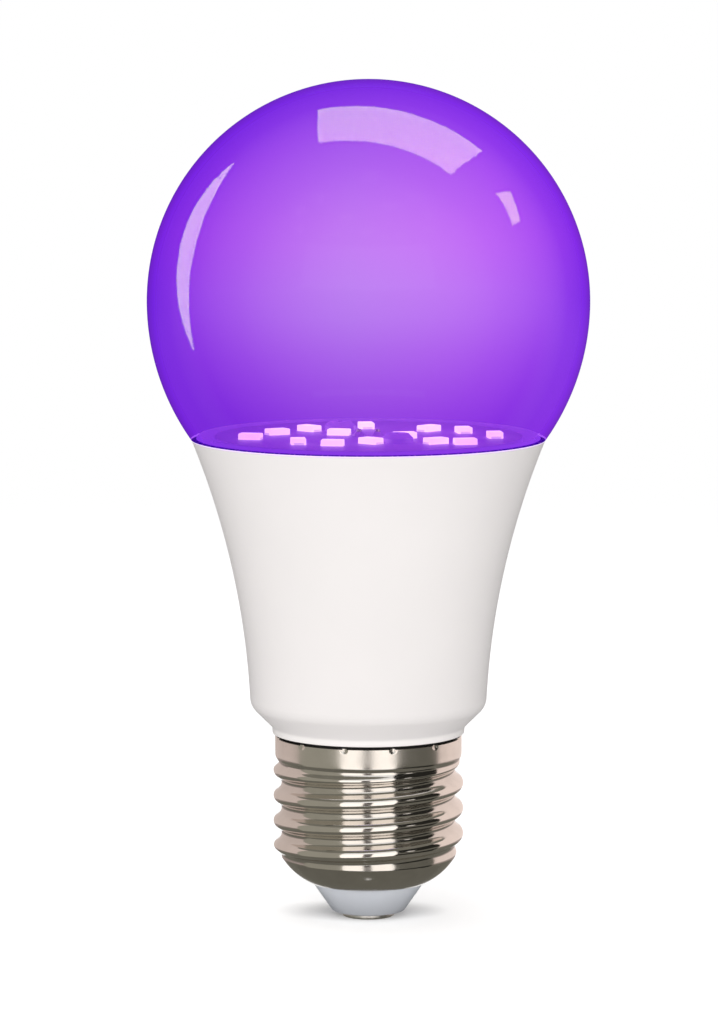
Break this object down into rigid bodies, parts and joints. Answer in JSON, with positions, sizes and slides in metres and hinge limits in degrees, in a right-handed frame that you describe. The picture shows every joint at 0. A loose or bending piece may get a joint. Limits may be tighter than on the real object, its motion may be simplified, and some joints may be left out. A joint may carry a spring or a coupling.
{
  "type": "black light bulb",
  "caption": "Screw-in LED black light bulb with a tinted clear globe, a flared white housing and a rolled metal screw base.",
  "frame": {"origin": "tip of the centre contact, on the lamp's axis", "axes": "+Z along the lamp's axis from the contact to the globe, -Y to the front"},
  "size_m": [0.06, 0.06, 0.1144],
  "materials": {
    "tinted_globe": "clear purple tint, polished",
    "white_housing": "satin moulded white",
    "plated_shell": "rolled sheet, nickel plated",
    "pale_insulator": "bluish white, moulded",
    "contact_metal": "plated rivet",
    "led_package": "pale package with a lit window",
    "led_board_coat": "white coated metal-core board",
    "sink_metal": "drawn aluminium",
    "screw_metal": "zinc plated",
    "board_laminate": "green coated laminate",
    "can_sleeve": "shrink sleeve",
    "ferrite": "sintered ferrite",
    "bobbin_plastic": "moulded black",
    "winding_copper": "enamelled copper wire",
    "lead_metal": "tinned",
    "film_coat": "dipped coating",
    "fuse_coat": "baked coating",
    "package_black": "moulded black",
    "live_insulation": "soft wire insulation",
    "neutral_insulation": "soft wire insulation"
  },
  "bodies": {
    "root": {"base_insulator": "pale_insulator", "board_screws": "screw_metal", "centre_contact": "contact_metal", "chip_resistors": "package_black", "driver_board": "board_laminate", "driver_chip": "package_black", "film_capacitor": "film_coat", "film_leads": "lead_metal", "fuse_leads": "lead_metal", "fuse_resistor": "fuse_coat", "globe": "tinted_globe", "heat_sink": "sink_metal", "housing": "white_housing", "input_capacitor": "can_sleeve", "input_capacitor_leads": "lead_metal", "led_board": "led_board_coat", "led_chip_01": "led_package", "led_chip_02": "led_package", "led_chip_03": "led_package", "led_chip_04": "led_package", "led_chip_05": "led_package", "led_chip_06": "led_package", "led_chip_07": "led_package", "led_chip_08": "led_package", "led_chip_09": "led_package", "led_chip_10": "led_package", "led_chip_11": "led_package", "led_chip_12": "led_package", "led_chip_13": "led_package", "led_chip_14": "led_package", "live_wire": "live_insulation", "neutral_wire": "neutral_insulation", "output_capacitor": "can_sleeve", "output_capacitor_leads": "lead_metal", "pin_header": "bobbin_plastic", "pin_solder": "lead_metal", "rectifier": "package_black", "screw_shell": "plated_shell", "supply_pins": "lead_metal", "transformer_bobbin": "bobbin_plastic", "transformer_core": "ferrite", "transformer_pins": "lead_metal", "transformer_winding": "winding_copper"}
  },
  "joints": []
}
